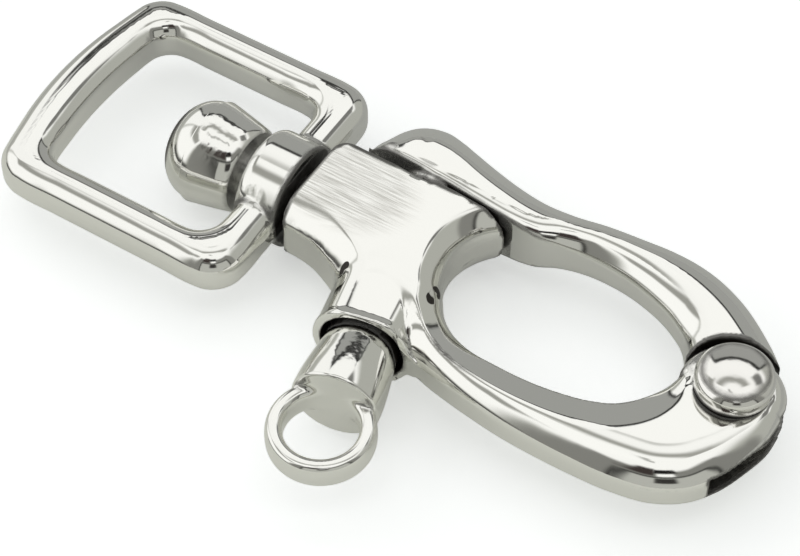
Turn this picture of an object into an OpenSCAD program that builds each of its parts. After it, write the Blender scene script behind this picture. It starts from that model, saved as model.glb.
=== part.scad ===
// Swivel snap shackle: square swivel eye, spring plunger with pull eye, hinged gate.
// Origin on the swivel axis at the flat end of the body; X toward the gate hinge, Y toward the gate, Z up.

/* [Swivel eye] */
// Clear width inside the eye, between the two side bars
eye_inside_width = 26.6; // [20:0.1:40]
// Clear length inside the eye, between collar bar and far bar
eye_inside_length = 27.0; // [20:0.1:40]
// Width of the eye bars
eye_bar_width = 5.5; // [4:0.1:8]
// Height of the eye bars
eye_bar_height = 6.8; // [5:0.1:9]
// Width of the far bar at its middle
far_bar_width = 6.2; // [4:0.1:10]
// How far the far bar bows outward
far_bar_bow = 2.0; // [0:0.1:5]
// Outer corner radius of the eye
eye_outer_radius = 5.2; // [3.5:0.1:8]
// Inner corner radius of the eye
eye_inner_radius = 3.2; // [1.5:0.1:6]
// Radius of the collar on the eye
collar_radius = 7.2; // [6:0.1:10]
// Length of the collar along the swivel axis
collar_length = 6.7; // [5:0.1:10]

/* [Swivel pin] */
// Radius of the swivel pin shank
swivel_shank_radius = 3.5; // [2.5:0.05:4.5]
// Radius of the pin head at its widest
swivel_head_radius = 7.2; // [5:0.1:9]
// Radius of the pin head where it faces the collar
swivel_head_foot = 6.0; // [4:0.1:8]
// Length of the barrel part of the head
swivel_head_barrel = 6.4; // [4:0.1:10]
// Height of the domed end of the head
swivel_head_dome = 5.3; // [3:0.1:8]
// Gap between the pin head and the collar
head_gap = 1.7; // [0.3:0.05:3]
// Gap between the collar and the body
collar_gap = 1.0; // [0.3:0.05:3]
// Depth of the shank inside the body
swivel_shank_depth = 9.0; // [6:0.1:11]

/* [Body] */
// Thickness of the flat middle of the body
body_thickness = 11.4; // [9:0.1:14]
// Width of the body at the swivel end
barrel_width = 14.6; // [13:0.1:18]
// Distance from the flat end to the left end of the bow opening
neck_reach = 21.5; // [18:0.1:26]
// Length of the bow opening
bow_length = 33.0; // [26:0.1:42]
// Width of the bow opening across gate and arm
bow_width = 20.4; // [16:0.1:26]
// Thickness of the arm, the gate and the hinge ears
arm_thickness = 7.8; // [7:0.1:10.5]
// Width of the arm at its waist beside the boss
arm_waist = 6.2; // [5:0.1:8]
// Width of the arm in the middle of the bow
arm_width = 7.6; // [6:0.1:9]
// Distance from the swivel axis to the mouth of the plunger boss
boss_reach = 16.5; // [15:0.1:20]
// Radius of the plunger boss
boss_radius = 6.5; // [6:0.1:8]
// Radius of the cup in the boss
cup_radius = 5.45; // [5:0.05:6]
// Depth of the cup in the boss
cup_depth = 3.0; // [2:0.1:5]

/* [Plunger] */
// Lean of the plunger axis from square to the swivel axis, degrees
plunger_lean = 12; // [0:0.5:16]
// Where the plunger axis meets the boss mouth, along the swivel axis
plunger_place = 18.5; // [17:0.1:22]
// Radius of the plunger stem
stem_radius = 1.8; // [1.2:0.05:2.4]
// Radius of the plunger head that slides in the body
plunger_radius = 3.3; // [2.8:0.05:3.8]
// Length of the plunger head
plunger_head_length = 7.0; // [5:0.1:9]
// Length of the tapered nose
nose_length = 2.6; // [1.5:0.1:4]
// Radius of the nose at its root
nose_root = 2.9; // [2:0.05:3.4]
// Radius of the nose at its tip
nose_tip = 1.4; // [0.8:0.05:2]
// Pull needed to clear the gate
plunger_travel = 4.5; // [3:0.1:6]
// Wire radius of the plunger spring
spring_wire = 0.35; // [0.25:0.01:0.5]
// Turns of the plunger spring
spring_turns = 5; // [4:1:8]

/* [Knob] */
// Radius of the knob where it enters the boss
knob_neck = 4.55; // [4:0.05:5]
// Radius of the knob at its outer end
knob_end = 5.5; // [5:0.05:7]
// Length of knob standing out of the boss
knob_length = 9.2; // [7:0.1:12]
// Outer radius of the pull eye
pull_eye_outer = 6.9; // [6:0.1:9]
// Hole radius of the pull eye
pull_eye_hole = 4.9; // [3:0.1:6]
// Height of the pull eye
pull_eye_height = 3.6; // [3:0.1:6]
// Centre of the pull eye beyond the knob end
pull_eye_reach = 4.5; // [4:0.1:7]

/* [Gate and hinge] */
// Thickness of the gate tongue
tongue_thickness = 3.0; // [1.8:0.1:3.6]
// Radius of the hinge ears
ear_radius = 6.8; // [6:0.1:9]
// Radius of the rivet shank
rivet_radius = 2.3; // [1.8:0.05:3]
// Radius of the rivet head
rivet_head_radius = 4.95; // [4:0.05:6]
// Height of the straight band of the rivet head
rivet_band = 1.9; // [0.5:0.1:3]
// Height of the dome over the band
rivet_dome = 1.9; // [1:0.1:3]
// Gap between the wing of the gate and the body
wing_gap = 1.8; // [0.6:0.05:2.5]
// Width of the gate in the middle of the bow
gate_width = 6.4; // [4.5:0.1:8]
// Width of the thumb wing
wing_width = 9.2; // [7:0.1:12]

/* [Fits] */
// Radial running clearance of the swivel, hinge and plunger
running_clearance = 0.06; // [0.02:0.01:0.1]
// Side clearance of the tongue in the slot
slot_clearance = 0.1; // [0.05:0.01:0.3]
// Gap kept between the closed gate and the body
seat_gap = 0.3; // [0.2:0.05:0.6]

/* [Hidden] */
$fn = 48;

body_half = body_thickness / 2;
arm_half = arm_thickness / 2;
barrel_half = barrel_width / 2;
hinge_x = neck_reach + bow_length + 6.8;
hinge_y = 0.4;
ear_gap = 0.7;
bow_low = -bow_width / 2 - 0.5;
bow_high = bow_width / 2 - 0.5;
collar_face = -collar_gap;
collar_back = collar_face - collar_length;
head_face = collar_back - head_gap;
eye_half = eye_inside_width / 2;
near_inside = collar_face - eye_bar_width - 0.5;
far_inside = near_inside - eye_inside_length;
bore_radius = plunger_radius + running_clearance;
lean_cos = cos(plunger_lean);
gate_pad = 0.4;
wall_s = (boss_reach + barrel_half + gate_pad) / lean_cos;
gate_face_s = wall_s + seat_gap / lean_cos;
web_end = cup_depth + 3.0;
nose_start = gate_face_s - 0.5;
nose_slope = (nose_root - nose_tip) / nose_length;
nose_gap = 0.3;
head_start = nose_start - plunger_head_length;
stem_tail = 5;

// ---- plan curves ----
function unit(v) = v / norm(v);
function lerp(a, b, t) = a + (b - a) * t;
// Catmull-Rom through a list of stations [x, y, half width, half height]
function cr(p0, p1, p2, p3, t) =
  0.5 * ((2 * p1) + (p2 - p0) * t + (2 * p0 - 5 * p1 + 4 * p2 - p3) * t * t + (3 * p1 - p0 - 3 * p2 + p3) * t * t * t);
function through(P, k) = [
  for (i = [0 : len(P) - 2]) for (j = [0 : k - 1])
    cr(P[max(i - 1, 0)], P[i], P[i + 1], P[min(i + 2, len(P) - 1)], j / k),
  P[len(P) - 1]
];
// Bar section: low straight sides and a crowned top and bottom meeting them at a crease
function section(a, b) = let (w = 0.38 * b) concat(
  [for (t = [35, 48, 62, 76, 90, 104, 118, 132, 145]) [a * cos(t) / cos(35), w + (b - w) * (sin(t) - sin(35)) / (1 - sin(35))]],
  [for (t = [145, 132, 118, 104, 90, 76, 62, 48, 35]) [a * cos(t) / cos(35), -w - (b - w) * (sin(t) - sin(35)) / (1 - sin(35))]]
);

// Sweep of the section along stations; closed joins the last station to the first
module bar(S, closed = false) {
  n = len(S);
  m = 18;
  rings = [for (i = [0 : n - 1])
    let (a = closed ? S[(i + n - 1) % n] : S[max(i - 1, 0)],
         b = closed ? S[(i + 1) % n] : S[min(i + 1, n - 1)],
         d = unit([b[0] - a[0], b[1] - a[1]]),
         s = section(S[i][2], S[i][3]))
    [for (p = s) [S[i][0] + d[1] * p[0], S[i][1] - d[0] * p[0], p[1]]]];
  points = [for (r = rings) for (p = r) p];
  sides = [for (i = [0 : (closed ? n - 1 : n - 2)]) for (j = [0 : m - 1])
    [i * m + j, i * m + (j + 1) % m, ((i + 1) % n) * m + (j + 1) % m, ((i + 1) % n) * m + j]];
  tris = [for (f = sides) each [[f[0], f[1], f[2]], [f[0], f[2], f[3]]]];
  ends = closed ? [] : [[for (j = [m - 1 : -1 : 0]) j], [for (j = [0 : m - 1]) (n - 1) * m + j]];
  polyhedron(points, concat(tris, ends), convexity = 6);
}

// Arc of outline points [x, y, nx, ny, edge across, edge down]; the edge across may run from one value to another
function arc_out(c, r, a0, a1, k, ea, eb) = [
  for (i = [0 : k]) let (t = lerp(a0, a1, i / k), s = r < 0 ? -1 : 1, across = is_list(ea) ? lerp(ea[0], ea[1], i / k) : ea)
    [c[0] + abs(r) * cos(t), c[1] + abs(r) * sin(t), s * cos(t), s * sin(t), across, eb]
];

// Outline point whose edge rolls over toward a given top point
function roll_to(x, y, top_x, top_y, down) = let (d = [x - top_x, y - top_y]) [x, y, unit(d)[0], unit(d)[1], norm(d), down];

// Plate of half thickness h from outline points, edges rolled over by each point's own amounts
module plate(O, h) {
  n = len(O);
  k = 6;
  levels = concat([for (j = [k : -1 : 0]) [-1, j / k * 90]], [for (j = [0 : k]) [1, j / k * 90]]);
  points = [for (l = levels) for (o = O)
    [o[0] - o[2] * o[4] * (1 - cos(l[1])), o[1] - o[3] * o[4] * (1 - cos(l[1])), l[0] * (h - o[5] + o[5] * sin(l[1]))]];
  m = len(levels);
  sides = [for (l = [0 : m - 2]) for (i = [0 : n - 1])
    let (a = l * n + i, b = l * n + (i + 1) % n, c = (l + 1) * n + (i + 1) % n, d = (l + 1) * n + i) each [[a, c, b], [a, d, c]]];
  polyhedron(points, concat(sides, [[for (i = [0 : n - 1]) i]], [[for (i = [n - 1 : -1 : 0]) (m - 1) * n + i]]), convexity = 6);
}

// Puts a child drawn along +Z onto the plunger axis, zero at the boss mouth, positive toward the gate
module on_plunger() {
  translate([plunger_place, -boss_reach, 0]) rotate([0, 0, plunger_lean]) rotate([-90, 0, 0]) children();
}

// Body outline: barrel, concave flank, boss block, neck round the bow, nose and gate side
neck_radius = bow_width / 2 - 0.9;
neck_centre = [neck_reach + neck_radius, 0.2];
flank_radius = 8.9;
flank_roll = 3.7;
body_outline = concat(
  [for (t = [180 : 22.5 : 270]) let (x = 1.7 + 1.7 * cos(t))
    roll_to(x, 1.7 + 1.7 * sin(t) - barrel_half, x + 0.5, flank_roll + 0.5 * cos(t) * cos(t) - barrel_half, 3.2)],
  arc_out([3.0, -barrel_half - flank_radius], -flank_radius, 90, 10, 8, [flank_roll, 1.7], 3.2),
  arc_out([plunger_place - 5.0, -boss_reach + 1.8], 1.7, 188, 270, 3, 1.6, 3),
  arc_out([neck_reach + 2.0, bow_low + 0.4], 4.8, 270, 385, 8, 4.3, 3.6),
  arc_out(neck_centre, 0.7 - neck_radius, -122, -226, 10, 0.02, 0.6),
  arc_out([neck_reach + 4.2, barrel_half - 0.25], 0.25, -10, 88, 2, 0.2, 0.6),
  arc_out([14.6, barrel_half - 0.3], 0.3 + gate_pad, 88, 120, 2, 0.5, 0.6),
  arc_out([2.2, barrel_half - 2.2], 2.2, 90, 180, 5, 0.5, 0.6)
);

// Scoop that rolls the neck edge over into the bow opening, above and below
module neck_scoop() {
  wall = 1.4;
  reach = 2.6;
  rise = body_half + 0.25 - wall;
  low = neck_radius - 3;
  roll = [for (j = [0 : 6]) [neck_radius + reach * (1 - cos(j * 13)) / (1 - cos(78)), wall + rise * sin(j * 13) / sin(78)]];
  far = roll[6] + [1.6, 0.75];
  translate([neck_centre[0], neck_centre[1], 0]) rotate_extrude($fn = 96) polygon(concat(
    [[low, far[1]], [low, -far[1]], [far[0], -far[1]]],
    [for (i = [6 : -1 : 0]) [roll[i][0], -roll[i][1]]], roll, [far]));
}

arm_stations = through([
  [neck_reach - 2.0, bow_low - 0.9, arm_waist * 0.5, arm_half + 0.8],
  [neck_reach + 2.5, bow_low - 2.2, arm_waist * 0.5, arm_half + 0.5],
  [neck_reach + 8.5, bow_low - arm_waist / 2 + 0.2, arm_waist / 2, arm_half],
  [neck_reach + 13.5, bow_low - arm_width / 2 + 0.3, arm_width * 0.46, arm_half],
  [neck_reach + bow_length * 0.56, bow_low - arm_width / 2 + 0.1, arm_width * 0.5, arm_half],
  [neck_reach + bow_length * 0.72, bow_low - arm_width / 2 + 0.7, arm_width * 0.58, arm_half],
  [hinge_x - 10.2, bow_low - arm_width / 2 + 1.5, arm_width * 0.70, arm_half],
  [hinge_x - 4.9, -10.8, ear_radius * 1.0, arm_half],
  [hinge_x - 1.3, -6.6, ear_radius * 1.07, arm_half],
  [hinge_x + 0.3, -0.9, ear_radius * 1.01, arm_half]
], 5);

gate_stations = through([
  [3.0, barrel_half + wing_gap + 1.5, 1.2, 2.6],
  [4.2, barrel_half + wing_gap + wing_width * 0.28, wing_width * 0.29, arm_half - 0.3],
  [7.0, barrel_half + wing_gap + wing_width * 0.41, wing_width * 0.41, arm_half + 0.6],
  [10.6, barrel_half + wing_gap + wing_width * 0.44, wing_width * 0.45, arm_half + 1.0],
  [16.5, barrel_half + wing_gap + 3.3, 3.7, arm_half + 1.0],
  [21.5, barrel_half + 4.2, 3.3, arm_half + 0.8],
  [27.5, bow_high + 1.8, gate_width * 0.5, arm_half + 0.6],
  [33.0, bow_high + 2.4, gate_width * 0.49, arm_half + 0.2],
  [40.0, bow_high + 3.0, gate_width * 0.5, arm_half],
  [45.7, bow_high + 2.8, gate_width * 0.57, arm_half],
  [51.0, bow_high + 1.3, gate_width * 0.67, arm_half],
  [55.5, 8.7, gate_width * 0.69, arm_half],
  [hinge_x - 2.7, 6.3, gate_width * 0.72, arm_half],
  [hinge_x - 0.4, 3.6, gate_width * 0.76, arm_half]
], 4);

// Half section of the hinge ears: flat seat for the rivet head, crowned out to a low side
module ear_profile() {
  w = 0.38 * arm_half;
  seat = rivet_head_radius * 0.9;
  top = [for (t = [35, 48, 62, 76, 90]) [seat + (ear_radius - seat) * cos(t) / cos(35), w + (arm_half - w) * (sin(t) - sin(35)) / (1 - sin(35))]];
  polygon(concat(top, [[0, arm_half], [0, -arm_half]], [for (i = [len(top) - 1 : -1 : 0]) [top[i][0], -top[i][1]]]));
}

module body() color("silver") difference() {
  union() {
    difference() {
      plate(body_outline, body_half);
      neck_scoop();
    }
    bar(arm_stations);
    translate([hinge_x, hinge_y, 0]) rotate_extrude() ear_profile();
    on_plunger() rotate_extrude() polygon(concat([[0, 12], [0, 0]],
      [for (j = [0 : 6]) [boss_radius - 0.55 + 0.55 * sin(j * 30 - 90 + 90), 0.55 - 0.55 * cos(j * 30)]],
      [[boss_radius - 1.0, 8], [boss_radius - 3.0, 12]]));
  }
  // swivel pin seat
  translate([-1, 0, 0]) rotate([0, 90, 0]) cylinder(r = swivel_shank_radius, h = swivel_shank_depth + 1);
  // cup, stem hole and plunger bore
  on_plunger() {
    translate([0, 0, -1]) cylinder(r = cup_radius, h = cup_depth + 1);
    translate([0, 0, -1]) cylinder(r = stem_radius + running_clearance, h = wall_s);
    translate([0, 0, web_end]) cylinder(r = bore_radius, h = wall_s - web_end + 6);
  }
  // clevis slot with the sweep of the tongue
  translate([hinge_x, hinge_y, -tongue_thickness / 2 - slot_clearance]) {
    cylinder(r = ear_radius - 0.5, h = tongue_thickness + 2 * slot_clearance);
    linear_extrude(height = tongue_thickness + 2 * slot_clearance)
      polygon([[3.6, -12.4], [-7.0, -2.2], [-12, -2.2], [-12, 24], [24, 24], [24, -12.4]]);
  }
  // rivet hole with a countersink under the lower ear
  translate([hinge_x, hinge_y, -arm_thickness]) cylinder(r = rivet_radius, h = 2 * arm_thickness);
  translate([hinge_x, hinge_y, -arm_half - 0.01]) cylinder(r1 = rivet_radius + 1.2, r2 = rivet_radius, h = 1.2);
}

module swivel_pin() color("gainsboro") rotate([0, 90, 0]) rotate_extrude() polygon(concat(
  [[0, swivel_shank_depth], [0, head_face - swivel_head_barrel - swivel_head_dome]],
  [for (j = [1 : 8]) [swivel_head_radius * sin(j * 11.25), head_face - swivel_head_barrel - swivel_head_dome * cos(j * 11.25)]],
  [[swivel_head_foot + 0.3, head_face - 0.5], [swivel_head_foot, head_face], [swivel_shank_radius, head_face],
   [swivel_shank_radius, swivel_shank_depth - 0.6], [swivel_shank_radius - 0.6, swivel_shank_depth]]
));

// Outline of the eye: rounded rectangle with a bowed far side, same count of points inside and out
function eye_ring(half, near, far, r, bow) = let (k = 6) concat(
  [for (i = [0 : k]) let (t = 90 * i / k) [near - r + r * cos(t), half - r + r * sin(t)]],
  [for (i = [0 : k]) let (t = 90 + (90 - bow * 6) * i / k) [far + bow + r + r * cos(t), half - r + r * sin(t)]],
  [for (i = [1 : 9]) let (y = (half - r) * (1 - i / 5)) [far + bow * pow(y / (half - r), 2) * 0.92, y]],
  [for (i = [0 : k]) let (t = 180 + bow * 6 + (90 - bow * 6) * i / k) [far + bow + r + r * cos(t), -half + r + r * sin(t)]],
  [for (i = [0 : k]) let (t = 270 + 90 * i / k) [near - r + r * cos(t), -half + r + r * sin(t)]]
);
eye_out = eye_ring(eye_half + eye_bar_width, collar_face + 0.2, far_inside - far_bar_width, eye_outer_radius, far_bar_bow);
eye_in = eye_ring(eye_half, near_inside, far_inside, eye_inner_radius, far_bar_bow * 0.55);

// Ring between the two outlines, low straight sides, crowned top and bottom
module eye_bars() {
  n = len(eye_out);
  h = eye_bar_height / 2;
  w = 0.62 * h;
  q = [for (t = [180, 152, 130, 110, 90, 70, 50, 28, 0]) t];
  m = 2 * len(q);
  u = concat([for (t = q) [0.5 + 0.5 * cos(t), w + (h - w) * sin(t)]], [for (i = [len(q) - 1 : -1 : 0]) [0.5 + 0.5 * cos(q[i]), -w - (h - w) * sin(q[i])]]);
  points = [for (i = [0 : n - 1]) for (p = u) [lerp(eye_in[i][0], eye_out[i][0], p[0]), lerp(eye_in[i][1], eye_out[i][1], p[0]), p[1]]];
  polyhedron(points, [for (i = [0 : n - 1]) for (j = [0 : m - 1])
    let (a = i * m + j, b = i * m + (j + 1) % m, c = ((i + 1) % n) * m + (j + 1) % m, d = ((i + 1) % n) * m + j) each [[a, c, b], [a, d, c]]], convexity = 6);
}

module swivel_frame() color("lightgray") difference() {
  union() {
    eye_bars();
    translate([collar_back, 0, 0]) rotate([0, 90, 0]) rotate_extrude() polygon(concat([[0, 0]],
      [for (j = [0 : 4]) [collar_radius - 1.2 + 1.2 * sin(j * 22.5), 1.2 - 1.2 * cos(j * 22.5)]],
      [for (j = [0 : 4]) [collar_radius - 0.8 + 0.8 * cos(j * 22.5), collar_length - 0.8 + 0.8 * sin(j * 22.5)]],
      [[0, collar_length]]));
  }
  translate([collar_back - 1, 0, 0]) rotate([0, 90, 0]) cylinder(r = swivel_shank_radius + running_clearance, h = collar_length + 2);
}

module gate() color("lightsteelblue") difference() {
  union() {
    difference() {
      bar(gate_stations);
      translate([hinge_x, hinge_y, -arm_thickness]) cylinder(r = ear_radius + ear_gap, h = 2 * arm_thickness);
    }
    // tongue
    translate([hinge_x, hinge_y, -tongue_thickness / 2]) {
      cylinder(r = ear_radius - 0.9, h = tongue_thickness);
      linear_extrude(height = tongue_thickness) polygon([[-5.0, 2.4], [3.4, 4.6], [3.0, 8.0], [-5.6, 9.0], [-6.6, 4.2]]);
    }
    // lug that takes the plunger nose
    on_plunger() translate([0, 0, gate_face_s - 1.5]) cylinder(r = nose_root + 1.6, h = 6);
  }
  // flat face of the lug, square to the gate side of the body
  translate([0, -barrel_half, -arm_thickness]) cube([neck_reach + 2.5, 2 * barrel_half + gate_pad + seat_gap, 2 * arm_thickness]);
  // tapered socket for the nose
  on_plunger() translate([0, 0, nose_start - 1.0])
    cylinder(r1 = nose_root + nose_gap + nose_slope, r2 = nose_tip + nose_gap - 0.3 * nose_slope, h = nose_length + 1.3);
  translate([hinge_x, hinge_y, -tongue_thickness]) cylinder(r = rivet_radius + running_clearance, h = 2 * tongue_thickness);
}

module hinge_rivet() color("gainsboro") translate([hinge_x, hinge_y, 0]) rotate_extrude() polygon(concat(
  [[0, -arm_half], [rivet_radius + 1.15, -arm_half], [rivet_radius, -arm_half + 1.2], [rivet_radius, arm_half], [rivet_head_radius - 0.25, arm_half], [rivet_head_radius - 0.25, arm_half + rivet_band - 0.4], [rivet_head_radius, arm_half + rivet_band - 0.2]],
  [for (j = [0 : 6]) [rivet_head_radius * cos(j * 15), arm_half + rivet_band + rivet_dome * sin(j * 15)]]
));

module plunger_pin() color("gainsboro") on_plunger() rotate_extrude() polygon([
  [0, -stem_tail], [stem_radius, -stem_tail], [stem_radius, head_start], [plunger_radius, head_start], [plunger_radius, nose_start - 1.0],
  [nose_root, nose_start], [nose_tip, nose_start + nose_length], [0, nose_start + nose_length]
]);

// Helix of wire, closed by flat ends
module plunger_spring() color("gray") on_plunger() {
  r = (stem_radius + plunger_radius) / 2 + 0.1;
  k = 14;
  n = spring_turns * k;
  z0 = web_end + spring_wire + 0.1;
  z1 = head_start - spring_wire - 0.1;
  m = 6;
  points = [for (i = [0 : n]) for (j = [0 : m - 1])
    let (t = i * 360 / k, q = r + spring_wire * cos(j * 60)) [q * cos(t), q * sin(t), lerp(z0, z1, i / n) + spring_wire * sin(j * 60)]];
  sides = [for (i = [0 : n - 1]) for (j = [0 : m - 1])
    let (a = i * m + j, b = i * m + (j + 1) % m, c = (i + 1) * m + (j + 1) % m, d = (i + 1) * m + j) each [[a, b, c], [a, c, d]]];
  polyhedron(points, concat(sides, [[for (j = [m - 1 : -1 : 0]) j]], [[for (j = [0 : m - 1]) n * m + j]]), convexity = 8);
}

// Puts a round child, drawn about Z, at the centre of the pull eye
module at_eye() on_plunger() rotate([90, 0, 0]) translate([0, -knob_length - pull_eye_reach, 0]) children();

module plunger_knob() color("gainsboro") difference() {
  union() {
    difference() {
      on_plunger() rotate_extrude() polygon([
        [0, cup_depth - seat_gap], [knob_neck - 0.5, cup_depth - seat_gap], [knob_neck, cup_depth - seat_gap - 0.5],
        [knob_neck, 0], [lerp(knob_neck, knob_end, 0.5), -knob_length * 0.6],
        [knob_end, 0.7 - knob_length], [knob_end, 0.3 - knob_length], [knob_end - 0.3, -knob_length], [0, -knob_length]
      ]);
      // relief beside the eye, so that only the flat ring carries the hole
      at_eye() cylinder(r = pull_eye_hole + 0.3, h = 4 * pull_eye_height, center = true);
    }
    at_eye() cylinder(r = pull_eye_outer, h = pull_eye_height, center = true);
  }
  at_eye() cylinder(r = pull_eye_hole, h = 2 * pull_eye_height, center = true);
  on_plunger() translate([0, 0, -stem_tail - seat_gap]) cylinder(r = stem_radius + running_clearance, h = 20);
}

body();
swivel_pin();
swivel_frame();
gate();
hinge_rivet();
plunger_pin();
plunger_spring();
plunger_knob();
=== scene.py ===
import math

import bmesh
import bpy
import numpy as np
from mathutils import Matrix, Vector


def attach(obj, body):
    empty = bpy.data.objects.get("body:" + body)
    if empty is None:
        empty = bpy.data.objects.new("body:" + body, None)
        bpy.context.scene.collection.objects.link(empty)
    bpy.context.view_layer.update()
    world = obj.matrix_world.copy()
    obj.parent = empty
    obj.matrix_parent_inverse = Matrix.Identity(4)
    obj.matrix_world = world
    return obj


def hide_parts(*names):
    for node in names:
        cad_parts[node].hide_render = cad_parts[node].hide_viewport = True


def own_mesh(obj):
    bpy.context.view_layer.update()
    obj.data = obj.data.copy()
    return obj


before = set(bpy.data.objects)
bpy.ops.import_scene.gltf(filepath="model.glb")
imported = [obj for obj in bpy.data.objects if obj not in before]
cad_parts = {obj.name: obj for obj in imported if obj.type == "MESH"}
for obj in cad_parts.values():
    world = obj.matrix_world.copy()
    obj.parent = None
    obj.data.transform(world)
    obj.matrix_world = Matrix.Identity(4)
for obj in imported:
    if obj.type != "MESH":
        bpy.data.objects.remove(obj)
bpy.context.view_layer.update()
print("frame loaded")

mm = 0.001
deg = math.radians


def addObject(name, data):
    piece = bpy.data.objects.new(name, data)
    bpy.context.collection.objects.link(piece)
    return piece


# ---- camera ----
cameraSetup = {
    "target": (16.65, -4.56, 0.0),
    "look": (-0.3305, 0.5227, -0.7859),
    "distance": 318.0,
    "lens": 112.5,
}


def makeCamera(c):
    data = bpy.data.cameras.new("camera")
    data.lens = c["lens"]
    data.sensor_width = 36.0
    data.clip_start = 0.01
    data.clip_end = 20.0
    camera = addObject("camera", data)
    look = Vector(c["look"]).normalized()
    camera.location = (Vector(c["target"]) - look * c["distance"]) * mm
    camera.rotation_mode = "QUATERNION"
    camera.rotation_quaternion = look.to_track_quat("-Z", "Y")
    bpy.context.scene.camera = camera


makeCamera(cameraSetup)
print("camera placed")


# ---- small maths for soft-edged solids, all in millimetres ----
def blendMin(a, b, k):  # union or lower height with a soft join k wide
    h = np.clip(0.5 + 0.5 * (b - a) / k, 0.0, 1.0)
    return b * (1 - h) + a * h - k * h * (1 - h)


def blendMax(a, b, k):
    return -blendMin(-a, -b, k)


def ease(x, a, b):  # 0 before a, 1 after b, smooth between
    t = np.clip((x - a) / (b - a), 0.0, 1.0)
    return t * t * (3 - 2 * t)


# rise of an edge: s goes from 0 at the wall to 1 at the top, start is its angle at the wall
def crown(s, start, flat):
    c = np.cos(start)
    q = 1 - np.clip(s, 0.0, 1.0)
    rounded = (np.sqrt(np.maximum(1 - (q * c) ** 2, 0)) - np.sin(start)) / (1 - np.sin(start))
    return rounded * (1 - flat) + (1 - q) * flat


def smoothThrough(points, gap):  # curve through points, even steps near gap; every column is carried along
    p = np.asarray(points, float)
    d = np.maximum(np.linalg.norm(np.diff(p[:, :2], axis=0), axis=1), 1e-6)
    slope = np.diff(p, axis=0) / d[:, None]
    tangent = np.empty_like(p)
    tangent[1:-1] = (slope[:-1] * d[1:, None] + slope[1:] * d[:-1, None]) / (d[1:] + d[:-1])[:, None]
    tangent[0] = 1.5 * slope[0] - 0.5 * tangent[1]
    tangent[-1] = 1.5 * slope[-1] - 0.5 * tangent[-2]
    out = []
    for i, length in enumerate(d):
        count = max(1, int(np.ceil(length / gap)))
        t = (np.arange(count) / count)[:, None]
        out.append(
            (2 * t**3 - 3 * t**2 + 1) * p[i]
            + (t**3 - 2 * t**2 + t) * length * tangent[i]
            + (3 * t**2 - 2 * t**3) * p[i + 1]
            + (t**3 - t**2) * length * tangent[i + 1]
        )
    out.append(p[-1:])
    return np.vstack(out)


def onArc(centre, radius, angle):  # angle in degrees
    return centre[0] + radius * math.cos(deg(angle)), centre[1] + radius * math.sin(deg(angle))


def arcRow(centre, radius, first, last, count, extra):  # points on an arc, extra columns appended
    return [[*onArc(centre, radius, t), *extra] for t in np.linspace(first, last, count)]


class HeightGrid:  # values on a fine plan grid, read back smoothly
    def __init__(self, low, high, step):
        self.low, self.step = low, step
        self.count = [int(np.ceil((high[i] - low[i]) / step)) + 4 for i in (0, 1)]
        self.x = low[0] + step * (np.arange(self.count[0]) - 1)
        self.y = low[1] + step * (np.arange(self.count[1]) - 1)

    def read(self, values, x, y):
        u = (x - self.low[0]) / self.step + 1
        v = (y - self.low[1]) / self.step + 1
        u = np.clip(u, 1, self.count[0] - 2.001)
        v = np.clip(v, 1, self.count[1] - 2.001)
        i, j = np.floor(u).astype(int), np.floor(v).astype(int)
        fu, fv = u - i, v - j

        def weights(f):
            return (
                -0.5 * f + f * f - 0.5 * f**3,
                1 - 2.5 * f * f + 1.5 * f**3,
                0.5 * f + 2 * f * f - 1.5 * f**3,
                -0.5 * f * f + 0.5 * f**3,
            )

        wu, wv = weights(fu), weights(fv)
        total = 0.0
        for a in range(4):
            row = 0.0
            for b in range(4):
                row = row + wv[b] * values[i + a - 1, j + b - 1]
            total = total + wu[a] * row
        return total

    def readEvenly(self, values, x, y):  # straight-line reading for slowly changing values
        u = np.clip((x - self.low[0]) / self.step + 1, 0, self.count[0] - 1.001)
        v = np.clip((y - self.low[1]) / self.step + 1, 0, self.count[1] - 1.001)
        i, j = np.floor(u).astype(int), np.floor(v).astype(int)
        fu, fv = (u - i)[..., None], (v - j)[..., None]
        low = values[i, j] * (1 - fv) + values[i, j + 1] * fv
        return low * (1 - fu) + (values[i + 1, j] * (1 - fv) + values[i + 1, j + 1] * fv) * fu


def nearestOn(curve, gx, gy):  # distance to a curve and its carried columns, over a plan grid
    px, py = gx.ravel(), gy.ravel()
    best = np.empty(px.size)
    carried = np.empty((px.size, curve.shape[1] - 2))
    a, b = curve[:-1], curve[1:]
    mid = (a[:, :2] + b[:, :2]) / 2
    for s in range(0, px.size, 20000):
        e = slice(s, s + 20000)
        d2 = (px[e, None] - mid[None, :, 0]) ** 2 + (py[e, None] - mid[None, :, 1]) ** 2
        k = np.argmin(d2, axis=1)
        p = np.stack([px[e], py[e]], 1)
        ab = b[k, :2] - a[k, :2]
        t = np.clip(((p - a[k, :2]) * ab).sum(1) / np.maximum((ab**2).sum(1), 1e-12), 0, 1)
        best[e] = np.linalg.norm(p - a[k, :2] - ab * t[:, None], axis=1)
        carried[e] = a[k, 2:] * (1 - t[:, None]) + b[k, 2:] * t[:, None]
    return best.reshape(gx.shape), carried.reshape(*gx.shape, -1)


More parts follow.
